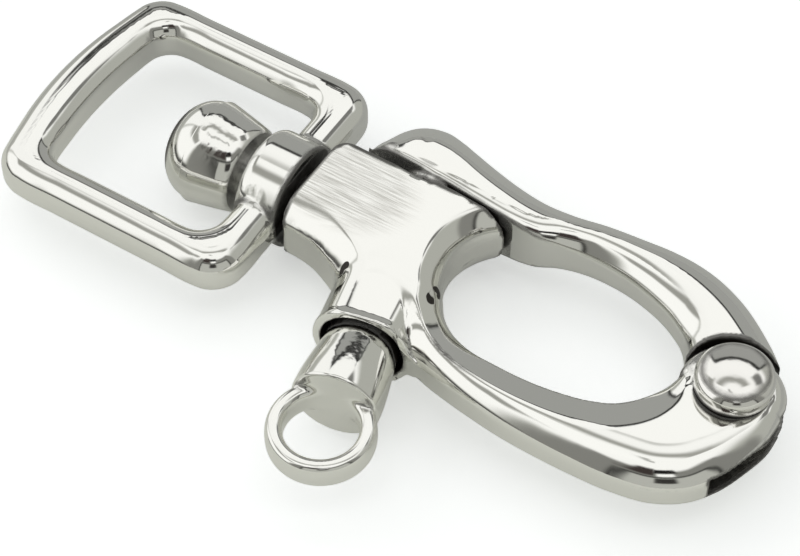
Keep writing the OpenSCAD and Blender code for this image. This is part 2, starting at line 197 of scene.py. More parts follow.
def insideOutline(curve, grid):  # True where the grid lies inside a closed outline
    flips = np.zeros((grid.count[0] + 1, grid.count[1]), int)
    ends = np.roll(curve, -1, axis=0)
    for (xa, ya), (xb, yb) in zip(curve[:, :2], ends[:, :2]):
        if ya == yb:
            continue
        lo, hi = min(ya, yb), max(ya, yb)
        j = np.where((grid.y >= lo) & (grid.y < hi))[0]
        if len(j):
            xs = xa + (grid.y[j] - ya) * (xb - xa) / (yb - ya)
            i = np.clip(np.ceil((xs - grid.x[0]) / grid.step).astype(int), 0, grid.count[0])
            np.add.at(flips, (i, j), 1)
    return (np.cumsum(flips, axis=0)[:-1] % 2) == 1


def wall(rows, before=(), after=(), rolled=True):  # before and after only carry the roll past the ends
    return {"rows": list(rows), "before": list(before), "after": list(after), "rolled": rolled}


class PlanSolid:
    # Solid drawn as walls in plan, inside on the left.
    # Rows are x, y, roll width, straight height, angle, flatness, lift.
    curveStep, gridStep = 0.12, 0.15
    signedTo = 1.2  # outside the outline, distances are negative this far
    letGo = {"from": 0.92, "strength": 6.0}  # share of the roll beyond which it lets go of the top

    def __init__(self, walls, top, low, high, holes=(), soft=0.12):
        self.grid = HeightGrid(low, high, self.gridStep)
        self.top, self.soft = top, soft
        gx, gy = np.meshgrid(self.grid.x, self.grid.y, indexing="ij")
        inside = insideOutline(np.vstack([self.curve(w["rows"]) for w in walls]), self.grid)
        for w in holes:
            inside &= ~insideOutline(self.curve(w["rows"]), self.grid)
        nearest = np.full(gx.shape, 1e9)
        self.rolls = []
        for w in [*walls, *holes]:
            d, q = nearestOn(self.curve(w["rows"]), gx, gy)
            nearest = np.minimum(nearest, d)
            if w["rolled"]:
                if w["before"] or w["after"]:
                    d, q = nearestOn(self.curve(w["before"] + w["rows"] + w["after"]), gx, gy)
                self.rolls.append((np.where(inside | (d > self.signedTo), d, -d), q))
        self.edge = np.where(inside, nearest, -nearest)

    def curve(self, rows):
        return smoothThrough(rows, self.curveStep)

    def at(self, x, y, z, edge=0.2):
        upper = full = self.top(x, y)
        for d, q in self.rolls:
            q = self.grid.readEvenly(q, x, y)
            share = self.grid.read(d, x, y) / q[..., 0]
            rise = crown(share, q[..., 2], q[..., 3])
            past = self.letGo["strength"] * np.maximum(share - self.letGo["from"], 0) ** 2
            upper = blendMin(upper, q[..., 1] + (full + q[..., 4] - q[..., 1]) * rise + past, self.soft)
        return blendMax(np.abs(z) - upper, -self.grid.read(self.edge, x, y), edge)


def slopeOf(solid, p, e=0.03):  # gradient of a solid's distance, by small steps of e
    out = np.empty_like(p)
    for k in range(3):
        q = p.copy()
        q[:, k] += e
        up = solid(q[:, 0], q[:, 1], q[:, 2])
        q[:, k] -= 2 * e
        out[:, k] = (up - solid(q[:, 0], q[:, 1], q[:, 2])) / (2 * e)
    return out


nearSolids = []  # distance to each finished solid, for painted shade and grime in narrow places
farAway = 9.0  # mm
corners = [(a, b, c) for a in (0, 1) for b in (0, 1) for c in (0, 1)]


def readSolid(low, step, f):  # quick distance from a solid's grid, far away outside it
    def distance(p):
        u = (p - low) / step
        here = np.all((u >= 0) & (u <= np.array(f.shape) - 1.001), axis=1)
        out = np.full(len(p), farAway)
        i = np.floor(u[here]).astype(int)
        t = u[here] - i
        total = 0.0
        for o in corners:
            weight = np.prod([t[:, k] if o[k] else 1 - t[:, k] for k in range(3)], axis=0)
            total = total + weight * f[tuple((i + o).T)]
        out[here] = total
        return out

    return distance


def skinOf(solid, low, high, step, toLocal=None):  # closed quad skin of a solid, with points drawn on to it
    low, high = np.asarray(low, float), np.asarray(high, float)
    n = np.ceil((high - low) / step).astype(int) + 1
    ax = [low[i] + step * np.arange(n[i]) for i in range(3)]
    f = solid(ax[0][:, None, None], ax[1][None, :, None], ax[2][None, None, :])
    f = np.array(np.broadcast_to(f, n))
    read = readSolid(low, step, f)
    nearSolids.append(read if toLocal is None else lambda p: read(toLocal(p)))
    neg = f < 0
    view = lambda g, o: g[o[0] : n[0] - 1 + o[0], o[1] : n[1] - 1 + o[1], o[2] : n[2] - 1 + o[2]]
    some = np.zeros(tuple(n - 1), bool)
    every = np.ones(tuple(n - 1), bool)
    for o in corners:
        some |= view(neg, o)
        every &= view(neg, o)
    cells = np.argwhere(some & ~every)
    number = np.full(tuple(n - 1), -1)
    number[tuple(cells.T)] = np.arange(len(cells))
    total, hits = np.zeros((len(cells), 3)), np.zeros(len(cells))
    for o in corners:
        for axis in range(3):
            if o[axis]:
                continue
            o2 = list(o)
            o2[axis] = 1
            a = f[tuple((cells + o).T)]
            b = f[tuple((cells + o2).T)]
            cross = (a < 0) != (b < 0)
            t = np.where(cross, a / np.where(cross, a - b, 1), 0)
            q = np.repeat(np.array([o], float), len(cells), 0)
            q[:, axis] = t
            total[cross] += q[cross]
            hits[cross] += 1
    points = low + step * (cells + total / hits[:, None])
    faces = []
    for axis in range(3):
        u, v = (axis + 1) % 3, (axis + 2) % 3
        a = np.take(neg, np.arange(n[axis] - 1), axis)
        b = np.take(neg, np.arange(1, n[axis]), axis)
        edge = np.argwhere(a != b)
        edge = edge[(edge[:, u] > 0) & (edge[:, v] > 0) & (edge[:, u] < n[u] - 1) & (edge[:, v] < n[v] - 1)]
        start = a[tuple(edge.T)]
        quad = []
        for du, dv in ((1, 1), (0, 1), (0, 0), (1, 0)):
            c = edge.copy()
            c[:, u] -= du
            c[:, v] -= dv
            quad.append(number[tuple(c.T)])
        quad = np.stack(quad, 1)
        quad[~start] = quad[~start][:, ::-1]
        faces.append(quad)
    faces = np.vstack(faces)
    for turn in range(4):  # moves that bring each point on to the surface, never far in one go
        g = slopeOf(solid, points, 0.04)
        value = solid(points[:, 0], points[:, 1], points[:, 2])
        move = -value / np.maximum((g**2).sum(1), 0.05)
        size = np.abs(move) * np.linalg.norm(g, axis=1)
        move *= np.minimum(1, 0.35 * step / np.maximum(size, 1e-9))
        points = points + g * move[:, None]
    normal = slopeOf(solid, points)
    normal /= np.maximum(np.linalg.norm(normal, axis=1), 1e-9)[:, None]
    return points, faces, normal


def smooth(mesh):
    mesh.polygons.foreach_set("use_smooth", np.ones(len(mesh.polygons), bool))


def addMesh(name, points, faces, normal):
    mesh = bpy.data.meshes.new(name)
    points = np.asarray(points, float) * mm
    faces = np.asarray(faces, int)
    mesh.vertices.add(len(points))
    mesh.vertices.foreach_set("co", points.ravel())
    mesh.loops.add(faces.size)
    mesh.loops.foreach_set("vertex_index", faces.ravel())
    mesh.polygons.add(len(faces))
    mesh.polygons.foreach_set("loop_start", np.arange(len(faces)) * faces.shape[1])
    mesh.update(calc_edges=True)
    mesh.validate()
    smooth(mesh)
    mesh.normals_split_custom_set_from_vertices([tuple(v) for v in normal])
    print(name, len(points), "points", len(mesh.polygons), "faces")
    return addObject(name, mesh)


# ---- shared places ----
hinge = (61.3, 0.4)
mouth = (18.5, -16.5)
outward = (math.sin(deg(12)), -math.cos(deg(12)))  # from the gate to the pull eye
across = (math.cos(deg(12)), math.sin(deg(12)))


def byPlunger(x, y):  # depth from the mouth of the boss, and distance aside of the plunger's line
    depth = -((x - mouth[0]) * outward[0] + (y - mouth[1]) * outward[1])
    return depth, (x - mouth[0]) * across[0] + (y - mouth[1]) * across[1]


def fromHinge(x, y):
    return np.sqrt((x - hinge[0]) ** 2 + (y - hinge[1]) ** 2)


# rows are x, y, roll width, straight height and, where they matter, angle in degrees, flatness, lift
def edgeRows(rows, angle=16):
    whole = [[*r, *(angle, 0.0, 0.0)[len(r) - 4 :]] for r in rows]
    return [[*r[:4], deg(r[4]), *r[5:]] for r in whole]


# ---- body ----
bodySizes = {
    "plateauHeight": 5.68,
    "armHeight": 3.9,
    "neckCentre": (31.0, 0.2),
    "neckRadius": 9.35,
    "earRadius": 6.8,
    "bossRadius": 6.5,
    "bossDepth": 17.0,
    "bossRidge": 5.65,
    "cupRadius": 5.45,
    "cupDepth": 3.0,
    "stemBore": 1.86,
    "stemBoreDepth": 8.0,
    "springBore": 3.36,
    "springBoreFrom": 6.0,
    "swivelBore": 3.52,
    "swivelBoreDepth": 9.02,
    "slotHalf": 1.6,
    "knuckleRoom": 6.3,
    "rivetHole": 2.3,
    "grain": 0.27,
}


def bodyTop(x, y):
    b = bodySizes
    fall = ease(x + 0.3 * np.minimum(y + 8, 0), 17.0, 34.0)
    return b["plateauHeight"] + (b["armHeight"] - b["plateauHeight"]) * fall


def bodyWalls(b):
    def neckRow(t):
        k = np.clip((t - 127.5) / 91.5, 0, 1)
        place = onArc(b["neckCentre"], b["neckRadius"], t)
        return [*place, 4.95 + 0.2 * k, 1.4, deg(4), 0.0, 0.8 - 0.35 * k]

    def earRow(t):
        k = ease(t, 60, 120)  # crisper rim on the gate's side
        roll = 2.35 - 1.15 * k + np.maximum(t - 183, 0) / 10.5
        return [*onArc(hinge, b["earRadius"], t), roll, 1.5 + 1.3 * k, deg(20), 0.0, 0.0]

    armInner = [
        (25.6, -8.2, 5.0, 1.6, 10, 0.25, 0.35), (27.2, -9.5, 4.9, 1.8, 14, 0.5, 0.3),
        (30.1, -10.8, 4.8, 2.1, 18, 0.75, 0.22), (34.9, -11.3, 4.8, 2.3, 20, 0.85, 0.2),
        (39.7, -11.2, 4.9, 2.3, 20, 0.85, 0.2), (43.4, -10.7, 5.0, 2.3, 20, 0.85, 0.2),
        (46.9, -9.85, 5.0, 2.3, 20, 0.85, 0.2), (50.0, -8.4, 5.0, 2.3, 20, 0.85, 0.2),
        (52.8, -5.3, 4.6, 2.2, 20, 0.75, 0.2), (54.2, -2.6, 3.4, 2.1, 18, 0.3, 0.1),
        (54.7, -1.2, 2.2, 2.4, 18, 0.0, 0.0),
    ]
    armOuter = [
        (68.2, 0.4, 2.5, 1.5), (68.3, -2.4, 3.0, 1.45), (67.4, -6.4, 3.8, 1.4),
        (65.7, -10.9, 4.6, 1.35), (63.5, -14.0, 4.8, 1.35), (59.8, -16.5, 4.8, 1.35),
        (54.4, -17.8, 4.8, 1.35), (49.4, -18.15, 4.5, 1.35), (44.4, -18.2, 4.2, 1.35),
        (39.4, -18.0, 3.9, 1.35), (34.4, -17.4, 3.6, 1.35), (29.4, -16.5, 3.6, 1.35),
        (27.4, -16.05, 3.8, 1.35), (25.3, -15.3, 4.0, 1.4), (23.2, -14.1, 4.0, 1.4),
        (21.0, -12.6, 4.0, 1.4),
    ]
    behindMouth = [(21.0, -12.6), (17.0, -12.6), (13.6, -14.2), (12.6, -16.2)]
    flank = [
        (12.55, -16.2), (12.4, -14.3), (11.9, -12.4), (10.9, -10.8), (9.2, -9.4),
        (7.3, -8.4), (5.0, -7.5), (2.6, -7.08), (0.8, -7.0),
    ]
    gateSide = [(4.0, 7.4), (8.0, 7.4), (13.9, 7.4), (14.9, 7.68), (16.0, 7.7), (20.0, 7.55), (25.05, 7.5)]
    hidden = [1.0, 4.6, 0.1, 0.0, 0.0]
    roll = [6.1, 2.65, deg(30), 0.0, 0.5]
    small = [0.55, 5.15, 0.1, 0.0, 0.0]
    neck = [neckRow(t) for t in np.linspace(128.5, 219, 13)]
    end = arcRow((0.8, -6.2), 0.8, 268, 182, 4, small) + [[0.0, y, *small] for y in (-5.6, 0.0, 5.1)]
    barrelSide = arcRow((2.2, 5.2), 2.2, 178, 92, 7, small) + [[*p, *small] for p in gateSide]
    return [
        wall(neck + edgeRows(armInner), before=[neckRow(t) for t in (100, 110, 119)]),
        wall([earRow(t) for t in np.linspace(193.5, 0, 20)]),
        wall(edgeRows(armOuter), after=edgeRows([(17.0, -11.6, 4.0, 1.4)])),
        wall([[*p, *hidden] for p in behindMouth], rolled=False),
        wall([[*p, *roll] for p in flank], before=[[12.6, -19.0, *roll]], after=[[-2.0, -7.0, *roll]]),
        wall(end),
        wall(barrelSide, after=[[28.0, 7.5, *small]]),
    ]


def makeBody(b):
    plate = PlanSolid(bodyWalls(b), bodyTop, (-1.5, -19.5), (70.0, 9.5), soft=0.26)
    slotFrom, slotTo = np.array([64.9, -12.0]), np.array([54.3, -1.8])  # bottom of the clevis slot in plan
    slotDir = (slotTo - slotFrom) / np.linalg.norm(slotTo - slotFrom)

    def solid(x, y, z):
        s, side = byPlunger(x, y)
        away = np.sqrt(side**2 + z**2)
        # the plate sinks under the boss, whose ridge rises a little towards its flared lip
        f = plate.at(x, y, z) + 0.7 * (1 - ease(s, 3.0, 10.0)) * (1 - ease(side, 2.5, 5.0))
        radius = b["bossRadius"] + 0.15 * (1 - ease(s, 0.5, 1.5))
        lip = 0.25 * (1 - ease(s, 0.3, 1.4))
        ridge = b["bossRidge"] + 0.22 * np.clip(1 - s / 9, 0, 1) ** 2 + lip - 0.03 * np.maximum(s - 9, 0)
        boss = blendMax(blendMax(away - radius, np.abs(z) - ridge, 0.8), -s, 0.4)
        join = 1.1 + 1.2 * ease(side, 1.5, 5.5)
        f = blendMin(f, np.maximum(boss, s - b["bossDepth"]), join + (0.05 - join) * ease(s, 3.0, 15.0))
        cup = blendMax(away - b["cupRadius"], s - b["cupDepth"], 0.3)
        f = blendMax(f, -cup, 0.3)
        f = np.maximum(f, -np.maximum(away - b["stemBore"], s - b["stemBoreDepth"]))
        f = np.maximum(f, -np.maximum(away - b["springBore"], b["springBoreFrom"] - s))
        f = np.maximum(f, -np.maximum(np.sqrt(y**2 + z**2) - b["swivelBore"], x - b["swivelBoreDepth"]))
        toLine = (x - slotFrom[0]) * slotDir[1] - (y - slotFrom[1]) * slotDir[0]
        reach = np.minimum(-toLine, fromHinge(x, y) - b["knuckleRoom"])
        slot = np.maximum(np.abs(z) - b["slotHalf"], reach)
        f = blendMax(f, -slot, 0.25)
        return np.maximum(f, b["rivetHole"] - fromHinge(x, y))

    points, faces, normal = skinOf(solid, (-0.8, -19.2, -7.2), (69.3, 8.8, 7.2), b["grain"])
    return addMesh("shackleBody", points, faces, normal)


shackleBody = makeBody(bodySizes)
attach(shackleBody, "shackle_body")
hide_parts("body")
print("body made")

# ---- swivel eye ----
eyeSizes = {
    "outer": {
        "half": 18.8,
        "near": -0.95,
        "far": -38.7,
        "radius": 5.0,
        "bow": 1.9,
        "roll": 3.0,
        "straight": 1.0,
    },
    "inner": {
        "half": 13.3,
        "near": -7.0,
        "far": -33.2,
        "radius": 3.2,
        "bow": 0.9,
        "roll": 2.7,
        "straight": 1.2,
    },
    "barTop": 3.4,
    "collarRadius": 7.2,
    "collarFrom": -7.8,
    "collarTo": -1.1,
    "pinHole": 3.55,
    "grain": 0.3,
}


def eyeWall(w):
    half, near, far, radius = w["half"], w["near"], w["far"], w["radius"]
    square = half - radius
    pts = [onArc((near - radius, square), radius, t) for t in np.linspace(0, 90, 7)]
    pts += [(x, half) for x in np.linspace(near - radius, far + radius, 6)[1:-1]]
    pts += [onArc((far + radius, square), radius, t) for t in np.linspace(90, 172, 7)]
    pts += [(far - w["bow"] * (1 - (y / square) ** 2), y) for y in np.linspace(square - 2.5, 0, 4)]
    pts = pts + [(x, -y) for x, y in pts[::-1][1:]]
    pts += [(near, y) for y in np.linspace(-square, square, 7)[1:]]
    return wall(edgeRows([(x, y, w["roll"], w["straight"]) for x, y in pts], 10))


def makeEye(e):
    hole = [eyeWall(e["inner"])]
    low, high = (-42.0, -20.5), (1.0, 20.5)
    bar = PlanSolid([eyeWall(e["outer"])], lambda x, y: e["barTop"], low, high, hole, soft=0.2)

    def solid(x, y, z):
        f = bar.at(x, y, z, 0.25)
        away = np.sqrt(y**2 + z**2)
        collar = blendMax(away - e["collarRadius"], e["collarFrom"] - x, 1.6)
        collar = blendMax(collar, x - e["collarTo"], 0.5)
        f = blendMin(f, collar, 0.7)
        return blendMax(f, np.minimum(e["pinHole"] - away, x + 12.0), 0.2)

    points, faces, normal = skinOf(solid, (-42.6, -19.8, -8.2), (0.4, 19.8, 8.2), e["grain"])
    return addMesh("swivelEye", points, faces, normal)


swivelEye = makeEye(eyeSizes)
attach(swivelEye, "swivel_eye")
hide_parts("swivel_frame")
print("swivel eye made")

# ---- gate ----
gateSizes = {
    "armHeight": 3.9,
    "wingHeight": 5.0,
    "hingeCut": 7.45,
    "tongueHalf": 1.5,
    "tongueRadius": 5.9,
    "rivetHole": 2.36,
    "lugRadius": 4.4,
    "lugEnd": 29.5,
    "socketRadius": 3.2,
    "socketFrom": 24.5,
    "socketEnd": 27.3,
    "grain": 0.28,
}


def gateTop(x, y):
    g = gateSizes
    wing = (g["wingHeight"] - g["armHeight"]) * (1 - ease(x, 13.0, 34.0)) * ease(x, 0.5, 6.0)
    return g["armHeight"] + wing - 1.0 * (1 - ease(x, 2.0, 8.0))


def gateWalls():
    outer = [
        (2.9, 10.4, 3.0, 1.8, 20, 0.3, 0.3), (3.1, 11.6, 3.8, 1.8, 20, 0.4, 0.5),
        (3.7, 13.0, 4.8, 1.8, 20, 0.5, 0.6), (4.7, 15.2, 5.8, 1.8, 20, 0.5, 0.7),
        (6.0, 16.8, 6.6, 1.8, 20, 0.5, 0.7), (7.8, 17.85, 6.8, 1.8, 20, 0.5, 0.7),
        (10.1, 18.25, 6.4, 1.8, 20, 0.5, 0.7), (12.4, 17.85, 5.6, 1.8, 20, 0.5, 0.7),
        (15.5, 16.95, 5.0, 1.8, 20, 0.5, 0.7), (18.8, 16.05, 5.0, 1.75, 20, 0.45, 0.6),
        (22.7, 15.2, 5.0, 1.65, 20, 0.4, 0.55), (26.9, 14.75, 5.0, 1.5, 20, 0.35, 0.5),
        (30.9, 15.05, 5.0, 1.4, 20, 0.3, 0.5), (35.6, 15.9, 4.8, 1.35, 20, 0.25, 0.45),
        (40.6, 16.4, 4.8, 1.35, 20, 0.25, 0.45), (44.6, 16.7, 5.0, 1.35, 20, 0.25, 0.45),
        (47.6, 16.6, 5.2, 1.35, 20, 0.25, 0.45), (50.6, 16.1, 5.4, 1.35, 20, 0.25, 0.45),
        (55.6, 14.2, 5.4, 1.35, 20, 0.25, 0.45), (60.6, 10.9, 5.2, 1.35, 20, 0.25, 0.45),
        (63.3, 8.6, 4.6, 1.4, 20, 0.1, 0.2), (65.4, 6.2, 3.8, 1.45, 20, 0.1, 0.1),
        (66.6, 3.4, 3.0, 1.5, 20),
    ]
    inner = [
        (54.2, 1.7, 2.8, 1.5), (53.4, 3.4, 3.4, 1.5), (52.4, 4.8, 4.2, 1.4),
        (49.4, 7.0, 4.3, 1.35), (44.4, 8.95, 3.9, 1.35), (39.5, 9.8, 3.3, 1.4),
        (35.0, 9.75, 3.0, 1.7), (32.0, 9.2, 2.8, 2.2), (29.0, 8.3, 2.4, 3.0),
        (26.8, 8.15, 2.0, 3.4), (25.0, 8.25, 1.7, 3.7), (20.0, 8.5, 1.4, 4.0),
        (15.0, 8.9, 1.2, 4.2), (10.0, 9.3, 1.1, 4.3), (5.0, 9.5, 1.1, 3.8),
        (3.0, 9.7, 1.2, 2.6), (2.3, 10.3, 1.6, 1.6),
    ]
    hidden = [(x, y, 2.0, 1.5) for x, y in ((66.6, 3.4), (66.4, 2.0), (61.3, -2.0), (54.2, 1.7))]
    walls = [wall(edgeRows(rows[::-1])) for rows in (outer, inner)]
    return [*walls, wall(edgeRows(hidden[::-1]), rolled=False)]


def makeGate(g):
    bar = PlanSolid(gateWalls(), gateTop, (0.5, -7.0), (69.5, 21.5), soft=0.26)

    def solid(x, y, z):
        round2 = fromHinge(x, y)
        f = blendMax(bar.at(x, y, z), g["hingeCut"] - round2, 0.15)
        bridge = np.maximum(np.abs(x - hinge[0] + 2.3) - 2.8, np.abs(y - 4.9) - 3.5)
        tongue = blendMin(round2 - g["tongueRadius"], bridge, 1.0)
        f = blendMin(f, blendMax(tongue, np.abs(z) - g["tongueHalf"], 0.12), 0.12)
        s, side = byPlunger(x, y)
        away = np.sqrt(side**2 + z**2)
        lug = np.maximum(away - g["lugRadius"], np.maximum(8.0 - y, s - g["lugEnd"]))
        f = blendMin(f, lug, 0.5)
        taper = g["socketRadius"] - 0.577 * (s - g["socketFrom"])
        f = np.maximum(f, -np.maximum(away - taper, s - g["socketEnd"]))
        return np.maximum(f, g["rivetHole"] - round2)

    points, faces, normal = skinOf(solid, (1.2, -6.6, -5.8), (68.8, 20.6, 5.8), g["grain"])
    return addMesh("gateArm", points, faces, normal)


gateArm = makeGate(gateSizes)
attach(gateArm, "gate")
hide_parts("gate")
print("gate made")

# ---- knob with its pull eye ----
knobSizes = {
    "neck": 4.65,
    "end": 5.75,
    "length": 9.2,
    "eyeOuter": 6.9,
    "eyeHole": 4.65,
    "eyeHalf": 1.95,
    "eyeReach": 4.5,
    "stemBore": 1.86,
    "stemBoreTo": 5.3,
    "grain": 0.2,
}


def makeKnob(k):
    # drawn along +X, mouth of the boss at 0, then turned on to the plunger line
    def solid(x, y, z):
        away = np.sqrt(y**2 + z**2)
        radius = k["neck"] + (k["end"] - k["neck"]) * ease(x, -2.5, k["length"] * 0.92)
        cone = blendMax(away - radius, x - k["length"], 0.45)
        cone = blendMax(cone, -x - 2.7, 0.3)
        ex = x - k["length"] - k["eyeReach"]
        far = np.sqrt(ex**2 + y**2)
        middle = (k["eyeOuter"] + k["eyeHole"]) / 2
        band = (k["eyeOuter"] - k["eyeHole"]) / 2
        wide, tall = np.abs(far - middle) / band, np.abs(z) / k["eyeHalf"]
        ring = ((wide**3 + tall**3) ** (1 / 3) - 1) * band
        ring = np.maximum(ring, k["length"] - 1.2 - x)
        f = blendMin(cone, ring, 0.7)
        return np.maximum(f, np.minimum(k["stemBore"] - away, k["stemBoreTo"] - x))

    turn = np.array([[outward[0], outward[1], 0], [-outward[1], outward[0], 0], [0, 0, 1.0]])
    place = np.array([mouth[0], mouth[1], 0])
    low, high = (-3.4, -7.6, -6.2), (21.4, 7.6, 6.2)
    p, faces, n = skinOf(solid, low, high, k["grain"], lambda q: (q - place) @ turn.T)
    p = p @ turn + place
    return addMesh("knobPull", p, faces, n @ turn)


knobPull = makeKnob(knobSizes)
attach(knobPull, "knob")
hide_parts("plunger_knob")
print("knob made")


# ---- turned pieces ----
def rounded(profile, sizes, count=5):  # corner rounding of a radius, height profile
    out = [profile[0]]
    for i in range(1, len(profile) - 1):
        r = sizes.get(i, 0.0)
        p, a, b = (np.array(profile[j], float) for j in (i, i - 1, i + 1))
        if r <= 0:
            out.append(tuple(p))
            continue
        u, v = (a - p) / np.linalg.norm(a - p), (b - p) / np.linalg.norm(b - p)
        for t in np.linspace(0, 1, count):
            out.append(tuple(p + u * r * (1 - t) ** 2 + v * r * t**2))
    out.append(profile[-1])
    return out


def turned(name, profile, start, along, count=160):  # revolve radius, height pairs round a line
    start = np.asarray(start, float)
    a = np.asarray(along, float) / np.linalg.norm(along)
    side = np.cross(a, (0, 0, 1.0) if abs(a[2]) < 0.9 else (1.0, 0, 0))
    side /= np.linalg.norm(side)
    up = np.cross(a, side)
    inner = [q for q in profile if q[0] > 1e-6]
    t = np.linspace(0, 2 * np.pi, count, endpoint=False)
    ringDir = np.cos(t)[:, None] * side + np.sin(t)[:, None] * up
    rings = [start + a * h + ringDir * r for r, h in inner]
    points = np.vstack([start + a * profile[0][1], *rings, start + a * profile[-1][1]])
    faces = []
    for i in range(len(inner) - 1):
        here, beyond = 1 + i * count, 1 + (i + 1) * count
        for j in range(count):
            k = (j + 1) % count
            faces.append([here + j, beyond + j, beyond + k, here + k])
    faces += [[0, 1 + j, 1 + (j + 1) % count] for j in range(count)]
    last = len(points) - 1
    base = 1 + (len(inner) - 1) * count
    faces += [[last, base + (j + 1) % count, base + j] for j in range(count)]
    mesh = bpy.data.meshes.new(name)
    mesh.from_pydata([tuple(p * mm) for p in points], [], faces)
    smooth(mesh)
    mesh.update()
    piece = addObject(name, mesh)
    fixOut(piece)
    mesh.set_sharp_from_angle(angle=deg(40))
    print(name, len(mesh.polygons), "faces")
    return piece


def fixOut(piece):  # faces look outwards
    b = bmesh.new()
    b.from_mesh(piece.data)
    bmesh.ops.recalc_face_normals(b, faces=b.faces)
    b.to_mesh(piece.data)
    b.free()


swivelSizes = {
    "shank": 3.5,
    "foot": 6.0,
    "rim": 7.2,
    "footAt": -9.45,
    "rimAt": -15.9,
    "end": -21.1,
    "depth": 9.0,
}


def makeSwivelPin(s):
    foot, rim, end = -s["footAt"], -s["rimAt"], -s["end"]
    first = rim + 0.3
    body = [
        (0, -s["depth"]),
        (s["shank"] - 0.5, -s["depth"]),
        (s["shank"], -s["depth"] + 0.5),
        (s["shank"], foot - 0.01),
        (s["foot"] - 0.4, foot),
        (s["foot"], foot + 0.4),
    ]
    for q in (0.25, 0.5, 0.75, 1.0):
        body.append((s["foot"] + (s["rim"] - s["foot"]) * q**0.9, foot + 0.4 + (-foot - 0.4 + rim) * q))
    body += [(s["rim"] - 0.05, rim + 0.16), (s["rim"] - 0.3, rim + 0.22)]
    for t in range(6, 90, 6):
        body.append(((s["rim"] - 0.3) * math.cos(deg(t)) ** 0.85, first + (end - first) * math.sin(deg(t))))
    return turned("swivelPin", body + [(0, end)], (0, 0, 0), (-1, 0, 0))


swivelPin = makeSwivelPin(swivelSizes)
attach(swivelPin, "shackle_body")
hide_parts("swivel_pin")

rivetSizes = {"shank": 2.3, "head": 4.95, "seatAt": 3.9, "band": 1.9, "dome": 1.9}


def makeRivet(r):
    shank, seat, top = r["shank"], r["seatAt"], r["seatAt"] + r["band"]
    low = [(0, -seat), (shank + 1.1, -seat), (shank, -seat + 1.2), (shank, seat)]
    head = [(r["head"] - 0.25, seat), (r["head"], seat + 0.4), (r["head"], top - 0.1)]
    dome = [(r["head"] * math.cos(deg(t)), top + r["dome"] * math.sin(deg(t))) for t in range(4, 90, 6)]
    profile = low + head + dome + [(0, top + r["dome"])]
    return turned("hingeRivet", profile, (hinge[0], hinge[1], 0), (0, 0, 1))


hingeRivet = makeRivet(rivetSizes)
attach(hingeRivet, "shackle_body")
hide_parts("hinge_rivet")

plungerSizes = {
    "stem": 1.8,
    "head": 3.3,
    "tail": -5.0,
    "headAt": 17.55,
    "noseAt": 24.55,
    "noseRoot": 2.9,
    "noseTip": 1.4,
    "noseLength": 2.6,
}


def makePlunger(p):
    tip = p["noseAt"] + p["noseLength"]
    profile = [
        (0, p["tail"]),
        (p["stem"], p["tail"]),
        (p["stem"], p["headAt"]),
        (p["head"], p["headAt"]),
        (p["head"], p["noseAt"] - 1.0),
        (p["noseRoot"], p["noseAt"]),
        (p["noseTip"], tip),
        (0, tip),
    ]
    profile = rounded(profile, {3: 0.2, 6: 0.3})
    return turned("plungerPin", profile, (mouth[0], mouth[1], 0), (-outward[0], -outward[1], 0))


plungerPin = makePlunger(plungerSizes)
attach(plungerPin, "plunger")
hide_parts("plunger_pin")
print("turned pieces made")


# ---- node helpers ----
# values, by input, are numbers, colours or other nodes' outputs; settings are the node's own
def node(tree, kind, values=None, **settings):
    n = tree.nodes.new(kind)
    for name, value in settings.items():
        setattr(n, name, value)
    for name, value in (values or {}).items():
        if isinstance(value, bpy.types.NodeSocket):
            tree.links.new(value, n.inputs[name])
        else:
            n.inputs[name].default_value = value
    return n


def newGroup(name, inputs, outputs, kind="ShaderNodeTree"):  # inputs and outputs are name and type pairs
    g = bpy.data.node_groups.new(name, kind)
    for n, socket in inputs:
        g.interface.new_socket(n, in_out="INPUT", socket_type="NodeSocket" + socket)
    for n, socket in outputs:
        g.interface.new_socket(n, in_out="OUTPUT", socket_type="NodeSocket" + socket)
    return g, g.nodes.new("NodeGroupInput"), g.nodes.new("NodeGroupOutput")


def step(tree, kind, a, b=None, c=None, clamp=False):  # one maths node
    values = {i: v for i, v in enumerate((a, b, c)) if v is not None}
    return node(tree, "ShaderNodeMath", values, operation=kind, use_clamp=clamp).outputs[0]


def smoothRange(tree, value, first, last):  # 0 at first, 1 at last, smooth between
    values = {"Value": value, "From Min": first, "From Max": last}
    return node(tree, "ShaderNodeMapRange", values, interpolation_type="SMOOTHSTEP").outputs["Result"]


def mixColour(tree, share, a, b):
    values = {"Factor": share, "A": a, "B": b}
    return node(tree, "ShaderNodeMix", values, data_type="RGBA").outputs["Result"]


def noiseOf(tree, vector, scale, detail=2.0):
    values = {"Vector": vector, "Scale": scale, "Detail": detail}
    return node(tree, "ShaderNodeTexNoise", values).outputs["Fac"]


# ---- spring ----
springSizes = {"Turns": 5.0, "Radius": 2.65, "Wire": 0.35, "Start": 6.45, "End": 17.1, "Travel": 4.5}


